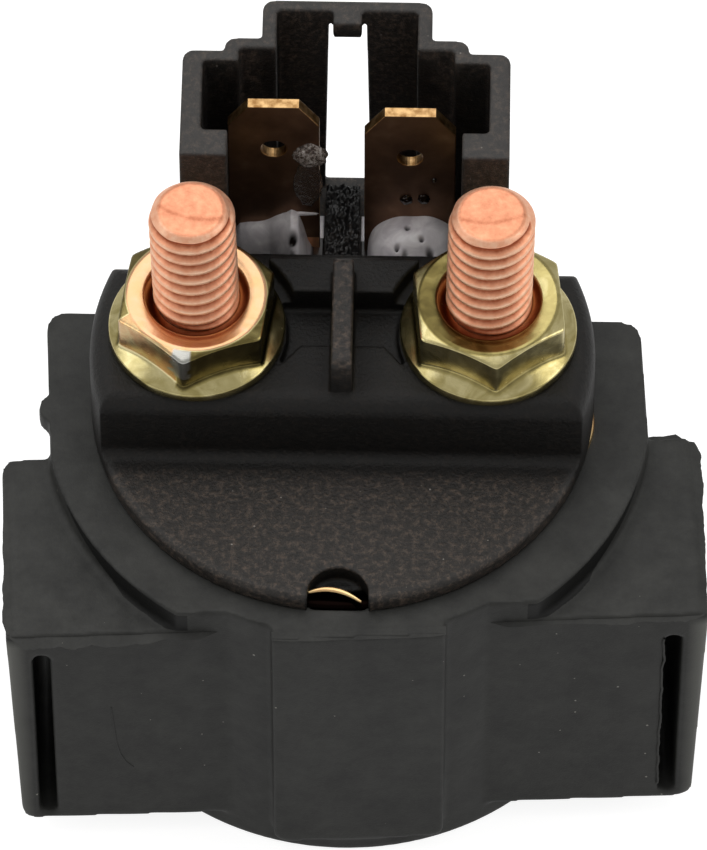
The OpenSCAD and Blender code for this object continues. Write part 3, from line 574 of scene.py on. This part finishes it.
# Yellow passivated zinc: satin metal, gold with faint pink and green clouds; the film level also carries painted
# reflections and shade
nut_zinc, shader, place = surface("yellow_passivated_zinc", {"Metallic": 1.0})
shift = worked(nut_zinc, "MULTIPLY_ADD", clouded(nut_zinc, place, 1.6, 4, Distortion=1.2), 0.4, -0.2)
thick = worked(nut_zinc, "ADD", painted(nut_zinc, "film"), shift, clamp=True)
film_and_light_colour = toned(nut_zinc, thick, (0.0, "#dfaf8c"), (0.18, "#d4a878"), (0.34, "#e2d6a4"), (0.54, "#ad9f68"),
                (0.78, "#675c35"), (1.0, "#332b18"))
plated = laid_over(nut_zinc, painted(nut_zinc, "unplated"), film_and_light_colour, "#9c7049")
bruised = laid_over(nut_zinc, painted(nut_zinc, "chipped"), plated, "#b3b2ac")
feed(nut_zinc, shader, "Base Color", bruised)
haze = clouded(nut_zinc, place, 0.7, 4)
feed(nut_zinc, shader, "Roughness", spread(nut_zinc, haze, target=(0.16, 0.32)))
emboss(nut_zinc, shader, 0.3, 0.03, haze)

for side, turn in nut_turns.items():
    rings = [([r] * nut_around, h, 0.0) for r, h in (
        (nut_bore, 0.02), (flange_r - 0.25, 0.0), (flange_r - 0.06, 0.06), (flange_r, 0.2),
        (flange_r, flange_edge - 0.16), (flange_r - 0.03, flange_edge - 0.05))]
    for i in range(nut_rows):
        h = flange_edge + (nut_h - flange_edge) * i / (nut_rows - 1)
        rings.append((nut_ring(h, turn, 0.04), h, 0.0))
    rings.append((nut_ring(nut_h, turn, 0.16), nut_h, 0.0))
    rings += [([r] * nut_around, h, bare) for r, h, bare in (       # down into the countersink and the bore
        (crown_flat, nut_h, 0.0), (sink_r + 0.1, nut_h, 0.0), (sink_r, nut_h - 0.04, 0.4),
        (sink_r - 0.12, nut_h - 0.14, 1.0), (nut_bore + 0.1, nut_h - sink_h + 0.05, 1.0),
        (nut_bore, nut_h - sink_h - 0.05, 1.0), (nut_bore, 0.5, 1.0))]
    rows = [[(r, nut_low + h) for r in radii] for radii, h, bare in rings]
    nut = lathe("nut_" + side + "_flanged", rows, stud_places[side], closed_ring=True)
    chipped, film = [], []
    for radii, h, bare in rings:
        for k, r in enumerate(radii):
            angle, z = 360 * k / nut_around, nut_low + h
            ragged = chip_half + 5 * noise.noise(Vector((k * 0.3, z * 1.5, 2)))
            on_side = side == "left" and chip_low < z < chip_high and r > chip_r
            chipped.append(1.0 if on_side and abs(angle - chip_turn) < ragged else 0.0)
            if h > nut_h - 0.12 and r < film_r:
                # the right nut's top darkens towards its left side: painted shade
                film.append(top_film if side == "left" else 0.7 + 0.16 * math.cos(math.radians(angle - 190)))
            else:
                stands = hexagon(k, turn) - flange_at(h)            # how far the wall stands out of the flange
                # the left nut's walls are painted dark, and those facing left light: painted reflections
                face_film_and_light = right_film if side == "right" else lit_face_film if lit_from < angle < lit_to else shaded_face_film
                # a line of painted shade where a wall meets the flange
                foot_shade = foot_shade_film * max(0, 1 - abs(stands) / 0.3)
                film.append(flange_film + (face_film_and_light - flange_film) * faded(stands + 0.3, 0.3) + foot_shade)
    paint(nut, "unplated", [bare for radii, h, bare in rings for _ in radii])
    paint(nut, "chipped", chipped)
    paint(nut, "film", film)
    nut.data.materials.append(nut_zinc)
    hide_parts("nut_" + side)
    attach(nut, "housing")

# ---------------------------------------------------------------- Push-on blades
# 6.3 mm tabs stamped from 0.8 mm brass strip: dark, tarnished faces, and a bright edge where the die cut.
# They are pushed through the cap from above, and their tails take the coil leads.
blade_places = {"left": (-4.97, 45.4, -4.2), "right": (4.43, 44.6, 4.2)}     # middle, tip and tail
blade_y, blade_w, blade_t = 12.6, 6.3, 0.8
blade_low, blade_tip_w, blade_tip_h = 29.0, 3.5, 2.1
blade_edge = 0.06                       # rounding of the sheared edge
hole_r, hole_drop, hole_sides = 0.9, 4.7, 32
tail_w, tail_low = 3.0, 24.6
bare_left, bare_right, bare_top = -2.9, -1.0, 30.5      # the left blade's bare corner

# Brass strip, tarnished dark brown in the oven that cures the cap; its oxide skin takes some shine away
strip, shader, place = surface("tarnished_brass_strip", {"Metallic": 0.85, "Roughness": 0.4})
stain = clouded(strip, place, 2.2, 4)
brown = toned(strip, stain, (0.3, "#5e4434"), (0.6, "#7c5c46"), (0.8, "#94765c"))
# Paste came away from the left blade's inner corner and took the skin with it, down to copper red
where = add(strip, "ShaderNodeSeparateXYZ", {"Vector": place})
bared = worked(strip, "LESS_THAN", where.outputs["Z"], bare_top * mm)
for test, bound in (("GREATER_THAN", bare_left), ("LESS_THAN", bare_right)):
    bared = worked(strip, "MULTIPLY", bared, worked(strip, test, where.outputs["X"], bound * mm))
skinned_off = laid_over(strip, bared, brown, "#ffbb8c")
feed(strip, shader, "Base Color", skinned_off)
emboss(strip, shader, 0.2, 0.02, clouded(strip, place, 0.3, 3))
# Brass where the die sheared it: bright, slightly torn
sheared, shader, place = surface("sheared_brass_edge", {"Metallic": 1.0, "Roughness": 0.36})
gold = toned(sheared, clouded(sheared, place, 0.5, 4), (0.35, "#8f6a40"), (0.65, "#d1ab78"))
feed(sheared, shader, "Base Color", gold)

for side, (x, blade_tip, tail) in blade_places.items():
    hole_z = blade_tip - hole_drop
    shoulder = blade_tip - blade_tip_h
    outline = [(x - blade_w / 2, blade_low), (tail - tail_w / 2, blade_low), (tail - tail_w / 2, tail_low),
               (tail + tail_w / 2, tail_low), (tail + tail_w / 2, blade_low), (x + blade_w / 2, blade_low),
               (x + blade_w / 2, shoulder), (x + blade_tip_w / 2, blade_tip), (x - blade_tip_w / 2, blade_tip),
               (x - blade_w / 2, shoulder)]
    hole = [(x + hole_r * math.cos(math.tau * k / hole_sides), hole_z + hole_r * math.sin(math.tau * k / hole_sides))
            for k in range(hole_sides)]
    cut = bpy.data.curves.new("blade_" + side + "_strip", "CURVE")
    cut.dimensions = "2D"
    cut.fill_mode = "BOTH"
    cut.extrude = (blade_t / 2 - blade_edge) * mm
    cut.bevel_depth = blade_edge * mm
    cut.bevel_resolution = 2
    cut.offset = -blade_edge * mm
    for loop in (outline, hole):
        spline = cut.splines.new("POLY")
        spline.points.add(len(loop) - 1)
        for point, (px, pz) in zip(spline.points, loop):
            point.co = (px * mm, pz * mm, 0, 1)
        spline.use_cyclic_u = True
    blade = settle(placed("blade_" + side + "_strip", cut))
    for vertex in blade.data.vertices:
        px, pz, off = vertex.co
        vertex.co = (px, blade_y * mm - off, pz)
    blade.data.materials.append(strip)
    blade.data.materials.append(sheared)
    for face in blade.data.polygons:
        face.use_smooth = False
        face.material_index = 0 if abs(face.normal.y) > 0.9 else 1
    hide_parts("blade_" + side)
    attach(blade, "housing")

# ---------------------------------------------------------------- Sealant
# Potting resin dropped round each blade's foot by hand: a grey-lilac paste that climbs the blade and sets
# glossy, with burst bubbles, and a rough black one in the trough between them.
shelf = 29.0
socket_in_y, mound_back, mound_half = 9.2 + 0.02, 15.15, 3.4    # from the front wall back, and half the width
mound_cell, thin_paste = 0.09, 0.75                      # paste lower than this is painted darker
trough_left, trough_right, trough_back = -1.45, 0.91, 16.98
heap_mid, heap_back = 12.25, 2.8                        # the left heap's crest, and how far it falls back
drop_x, drop_left, drop_right = 4.65, 3.15, 3.4         # the right drop's crest, and its reach to each side
drop_y, drop_deep, drop_h = 11.9, 3.1, 4.15
paste_pits = {"left": [(-3.68, 10.4, 0.3), (-3.78, 9.75, 0.18)],        # burst bubbles: place and radius
              "right": [(4.3, 11.2, 0.13), (3.6, 9.9, 0.13), (5.3, 10.4, 0.12), (4.15, 9.55, 0.12), (5.9, 9.7, 0.2)]}


def mound(name, x0, x1, y0, y1, height):
    """A lump over a patch of the shelf, whose height over the shelf is a function of the place."""
    nx, ny = int((x1 - x0) / mound_cell), int((y1 - y0) / mound_cell)
    points = []
    for level in (0, 1):
        for j in range(ny + 1):
            for i in range(nx + 1):
                x, y = x0 + (x1 - x0) * i / nx, y0 + (y1 - y0) * j / ny
                points.append((x, y, shelf + level * max(0.02, height(x, y))))
    wide, layer = nx + 1, (nx + 1) * (ny + 1)
    faces = []
    for j in range(ny):
        for i in range(nx):
            a = j * wide + i
            faces.append((a, a + wide, a + wide + 1, a + 1))
            faces.append((layer + a, layer + a + 1, layer + a + wide + 1, layer + a + wide))
    rim = list(range(nx + 1)) + [j * wide + nx for j in range(1, ny + 1)]
    rim += [ny * wide + i for i in range(nx - 1, -1, -1)] + [j * wide for j in range(ny - 1, 0, -1)]
    faces += [(a, b, b + layer, a + layer) for a, b in zip(rim, rim[1:] + rim[:1])]
    return skinned(name, points, faces)


# Filled potting resin: pale grey-lilac paste with a wet skin, painted near black in its burst bubbles as painted shade,
# and darker where it is low
paste, shader, place = surface("grey_potting_resin", {"Roughness": 0.28, "IOR": 1.5})
swirl = clouded(paste, place, 1.2, 4, Distortion=0.8)
lilac = toned(paste, swirl, (0.3, "#c6c1c6"), (0.55, "#e2dee1"), (0.75, "#f6f4f5"))
darkened_paste = laid_over(paste, painted(paste, "hollow"), lilac, "#17110f")
feed(paste, shader, "Base Color", darkened_paste)
# Unfilled black resin, torn while it set: rough and glistening
tar, shader, place = surface("black_potting_resin", {"Base Color": srgb("#151414"), "Roughness": 0.35, "IOR": 1.5})
emboss(tar, shader, 0.8, 0.12, clouded(tar, place, 0.3, 5))


def ramp(at, *stops):
    """Straight lines between (place, value) stops."""
    for (a, low), (b, high) in zip(stops, stops[1:]):
        if at <= b:
            return low + (high - low) * max(0, at - a) / (b - a)
    return stops[-1][1]


def left_heap(x, y):
    """The left paste hangs on the blade and ran forwards only near its middle; the inner corner stayed bare."""
    crest = ramp(x, (-8.4, 1.2), (-7.4, 3.1), (-5.7, 3.4), (-4.6, 4.1), (-3.8, 4.7), (-3.3, 4.4), (-2.95, 2.9),
                 (-2.65, 1.2), (-2.35, 0.35), (-1.5, 0.3))
    front = ramp(x, (-8.4, 11.3), (-7.2, 10.9), (-5.3, 11.0), (-4.4, 10.2), (-3.7, 9.3), (-3.1, 9.3), (-2.8, 10.0))
    off = faded(heap_mid - y, heap_mid - front) if y < heap_mid else faded(y - heap_mid, heap_back)
    return crest * max(0, 1 - off ** 2.6) ** 0.5 * (1 + 0.07 * noise.noise(Vector((x / 1.1, y / 1.1, 4))))


def right_heap(x, y):
    """The right paste is one smooth drop with a rounded left end."""
    across, along = (x - drop_x) / (drop_left if x < drop_x else drop_right), abs(y - drop_y) / drop_deep
    body = max(0, 1 - abs(across) ** 2.8 - along ** 3) ** 0.42
    return drop_h * body * (1 + 0.05 * noise.noise(Vector((x / 1.7, y / 1.7, 1))))


def rubble(x, y):
    """The black resin between the blades is torn into lumps of two sizes."""
    coarse, fine = noise.noise(Vector((x / 0.5, y / 0.5, 1))), noise.noise(Vector((x / 0.22, y / 0.22, 5)))
    return 1.15 + 0.45 * coarse + 0.3 * fine


def pitted(side, x, y):
    """How far into each burst bubble of a heap a place is, 1 in its middle."""
    return [math.exp(-((x - px) ** 2 + (y - py) ** 2) / (r * r)) for px, py, r in paste_pits[side]]


for side, heap in (("left", left_heap), ("right", right_heap)):
    x = blade_places[side][0]
    lump = mound("sealant_" + side + "_lump", x - mound_half, x + mound_half, socket_in_y, mound_back,
                 lambda px, py: heap(px, py) - 0.8 * sum(pitted(side, px, py)))
    hollow = []
    for vertex in lump.data.vertices:
        px, py, pz = vertex.co / mm
        # Burst bubbles get painted shade; low paste in front of the blade is painted darker
        thin = faded(thin_paste - (pz - shelf), 0.4) if py < blade_y + blade_t / 2 else 0
        hollow.append(max(min(1, 1.6 * max(pitted(side, px, py))), thin))
    paint(lump, "hollow", hollow)
    lump.data.materials.append(paste)
    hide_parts("sealant_" + side)
    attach(lump, "housing")

middle = mound("sealant_between_blades", trough_left, trough_right, socket_in_y, trough_back, rubble)
middle.data.materials.append(tar)
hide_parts("sealant_middle")
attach(middle, "housing")


def drops(name, material, places):
    """Flattened drops that stick on the blades' front faces: (x, z, half width, half height, thickness)."""
    wet = bmesh.new()
    for seed, (px, pz, wide, high, thick) in enumerate(places):
        for vertex in bmesh.ops.create_icosphere(wet, subdivisions=4, radius=1.0)["verts"]:
            at = vertex.co.copy()
            dents, wrinkles = at * 1.7 + Vector((seed, 3, 1)), at * 5 + Vector((1, seed, 7))
            uneven = 1 + 0.2 * noise.noise(dents) + 0.12 * noise.noise(wrinkles)
            out = blade_y - blade_t / 2 - 0.02 + thick * uneven * min(0.1, at.y)
            vertex.co = Vector((px + wide * uneven * at.x, out, pz + high * uneven * at.z)) * mm
    mesh = bpy.data.meshes.new(name)
    wet.to_mesh(mesh)
    wet.free()
    mesh.polygons.foreach_set("use_smooth", [True] * len(mesh.polygons))
    piece = placed(name, mesh)
    piece.data.materials.append(material)
    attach(piece, "housing")


# Clear resin that ran off the dropper: a thin smear below the left blade's hole and a bead beside it, mottled brown
# with pale flecks that are painted highlights
clear, shader, place = surface("clear_resin", {
    "Base Color": srgb("#b9a699"), "Roughness": 0.08, "IOR": 1.5, "Transmission Weight": 0.92})
emboss(clear, shader, 0.9, 0.15, clouded(clear, place, 0.35, 4))
drops("sealant_clear_smear", clear, [(-2.6, 36.9, 0.95, 2.5, 0.06)])
glinting_resin, shader, place = surface("resin_with_painted_glints", {"Roughness": 0.15, "IOR": 1.5, "Transmission Weight": 0.45})
glint_and_relief = clouded(glinting_resin, place, 0.3, 5, Roughness=0.7)
pale = toned(glinting_resin, glint_and_relief, (0.42, "#4a3c34"), (0.52, "#a89c93"), (0.66, "#fbf6f2"))
feed(glinting_resin, shader, "Base Color", pale)
emboss(glinting_resin, shader, 1.0, 0.2, glint_and_relief)
drops("sealant_clear_bead", glinting_resin, [(-2.45, 40.15, 1.15, 1.2, 0.55)])
# Brown bubbles of flux at the right blade's foot, and the thin tongue of paste over the left blade's bare corner
flux, _, _ = surface("dried_flux", {"Base Color": srgb("#170e0a"), "Roughness": 0.15, "IOR": 1.5})
drops("sealant_flux_bubbles", flux, [
    (4.2, 35.1, 0.42, 0.5, 0.2), (5.4, 35.2, 0.42, 0.5, 0.25), (6.1, 37.4, 0.18, 0.2, 0.15)])
drops("sealant_left_tongue", paste, [(-3.15, 33.3, 1.2, 0.2, 0.12)])

# ---------------------------------------------------------------- Coil, core and contacts
# The working parts inside: wound bobbin, steel core and plate, plunger and rod on their springs, and the
# copper bridge. They are turned, stamped or moulded parts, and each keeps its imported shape.

# Spring, the body under it, the body over it, and the height of an end turn
spring_turns = (("return_spring", "plunger_set", "housing", 0.6), ("contact_spring", "plunger_set", "bridge_set", 0.5))


def plain(name, colours, metallic, roughness, grain):
    """A hidden part's material: two tones in a grain of this size in millimetres."""
    material, shader, place = surface(name, {"Metallic": metallic, "Roughness": roughness})
    tones = toned(material, clouded(material, place, grain, 3), (0.35, colours[0]), (0.65, colours[1]))
    feed(material, shader, "Base Color", tones)
    return material


# Turned steel, ground clip steel, moulded nylon, enamelled wire, drawn brass, cut rubber, stamped copper and
# brown laminate
for name, colours, metallic, roughness, grain, nodes in (
        ("turned_steel", ("#8e9093", "#a3a5a8"), 1.0, 0.32, 0.6, (
            "pole_plate", "fixed_core", "plunger", "plunger_rod")),
        ("ground_spring_steel", ("#6d6f72", "#85878a"), 1.0, 0.28, 0.3, ("rod_clip",)),
        ("moulded_nylon", ("#d8d2c0", "#e2dccb"), 0.0, 0.5, 1.5, ("coil_bobbin",)),
        ("enamelled_copper_wire", ("#8c3f1c", "#b5602f"), 1.0, 0.3, 0.25, (
            "coil_winding", "coil_lead_left", "coil_lead_right")),
        ("drawn_brass_tube", ("#c9a55a", "#dcbb72"), 1.0, 0.25, 0.8, ("guide_tube",)),
        ("cut_gasket_rubber", ("#1c1c1c", "#262626"), 0.0, 0.65, 0.4, ("cap_gasket",)),
        ("stamped_contact_copper", ("#d98f6c", "#e8a684"), 1.0, 0.3, 0.7, ("contact_bridge",)),
        ("brown_phenolic_laminate", ("#6b3220", "#7e4029"), 0.0, 0.5, 0.5, ("bridge_insulator", "bridge_washer"))):
    material = plain(name, colours, metallic, roughness, grain)
    for node in nodes:
        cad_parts[node].data.materials.clear()
        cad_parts[node].data.materials.append(material)

# Both springs are coiled from drawn wire. Each is a copy of the imported coil, baked into the scene's frame.
wire = plain("drawn_spring_wire", ("#6d6f72", "#85878a"), 1.0, 0.28, 0.3)
for name, low_body, high_body, end_turn in spring_turns:
    coil = placed(name + "_coil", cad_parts[name].data.copy())
    coil.data.materials.clear()
    coil.data.materials.append(wire)
    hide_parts(name)
    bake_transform(coil)

# ---------------------------------------------------------------- Studio
# A white sweep inside a light tent, with a broad soft lamp overhead and a weaker one at each side.
# The camera looks down on the studs from the front, a little from the right.
floor_half = 1.2
floor_z = -0.00003                      # a hair under the boot, so the two faces don't coincide
lamp_aim = Vector((0, 0, 0.02))
elevation, azimuth, distance = math.radians(54), math.radians(1.2), 0.6
lens_px, frame_w, frame_h, sensor = 8790, 707, 850, 36
target = Vector((0, 1, 40)) * mm        # between the studs
target_px, target_py = 342.9, 287.4     # where the photograph shows it

sweep = bpy.data.meshes.new("studio_floor")
corners = [(-floor_half, -floor_half), (floor_half, -floor_half), (floor_half, floor_half), (-floor_half, floor_half)]
sweep.from_pydata([(x, y, floor_z) for x, y in corners], [], [(0, 1, 2, 3)])
floor = placed("studio_floor", sweep)
# White paper: it shows white to the camera and in reflections, and still takes the shadow
paper = bpy.data.materials.new("white_paper")
paper.use_nodes = True
paper.node_tree.nodes.clear()
matt = add(paper, "ShaderNodeBsdfDiffuse", {"Color": srgb("#a4a4a4")})
ray = add(paper, "ShaderNodeLightPath", {})
mirrored = worked(paper, "MULTIPLY", ray.outputs["Is Glossy Ray"], 0.5)
seen = worked(paper, "MULTIPLY_ADD", ray.outputs["Is Camera Ray"], 0.85, mirrored)
glow = add(paper, "ShaderNodeEmission", {"Strength": seen})
both = add(paper, "ShaderNodeAddShader", {0: matt.outputs[0], 1: glow.outputs[0]})
add(paper, "ShaderNodeOutputMaterial", {"Surface": both.outputs[0]})
sweep.materials.append(paper)

world = bpy.data.worlds.new("studio")
bpy.context.scene.world = world
world.use_nodes = True
world.node_tree.nodes["Background"].inputs["Color"].default_value = srgb("#f2f2f0")
world.node_tree.nodes["Background"].inputs["Strength"].default_value = 0.62

for name, place, size, power in (
        ("overhead_softbox", (-0.15, 0.3, 0.95), 1.2, 6.3),
        ("left_softbox", (-0.9, -0.1, 0.5), 0.5, 1.1),
        ("right_softbox", (0.9, -0.15, 0.5), 0.5, 1.7)):
    lamp = bpy.data.lights.new(name, "AREA")
    lamp.shape = "SQUARE"
    lamp.size = size
    lamp.energy = power
    light = placed(name, lamp)
    light.location = place
    light.rotation_euler = (lamp_aim - Vector(place)).to_track_quat("-Z", "Y").to_euler()

back = Vector((math.sin(azimuth) * math.cos(elevation), -math.cos(azimuth) * math.cos(elevation), math.sin(elevation)))
right = Vector((math.cos(azimuth), math.sin(azimuth), 0))
up = back.cross(right)
stand = target + distance * back
aim_right, aim_down = (frame_w / 2 - target_px) / lens_px * distance, (frame_h / 2 - target_py) / lens_px * distance
aim = target + right * aim_right - up * aim_down
lens = bpy.data.cameras.new("photo_camera")
lens.sensor_fit = "VERTICAL"
lens.sensor_height = sensor
lens.lens = lens_px / frame_h * sensor
lens.clip_start = 0.05
camera = placed("photo_camera", lens)
camera.location = stand
camera.rotation_euler = (aim - stand).to_track_quat("-Z", "Y").to_euler()
bpy.context.scene.camera = camera
bpy.context.scene.view_settings.view_transform = "Standard"
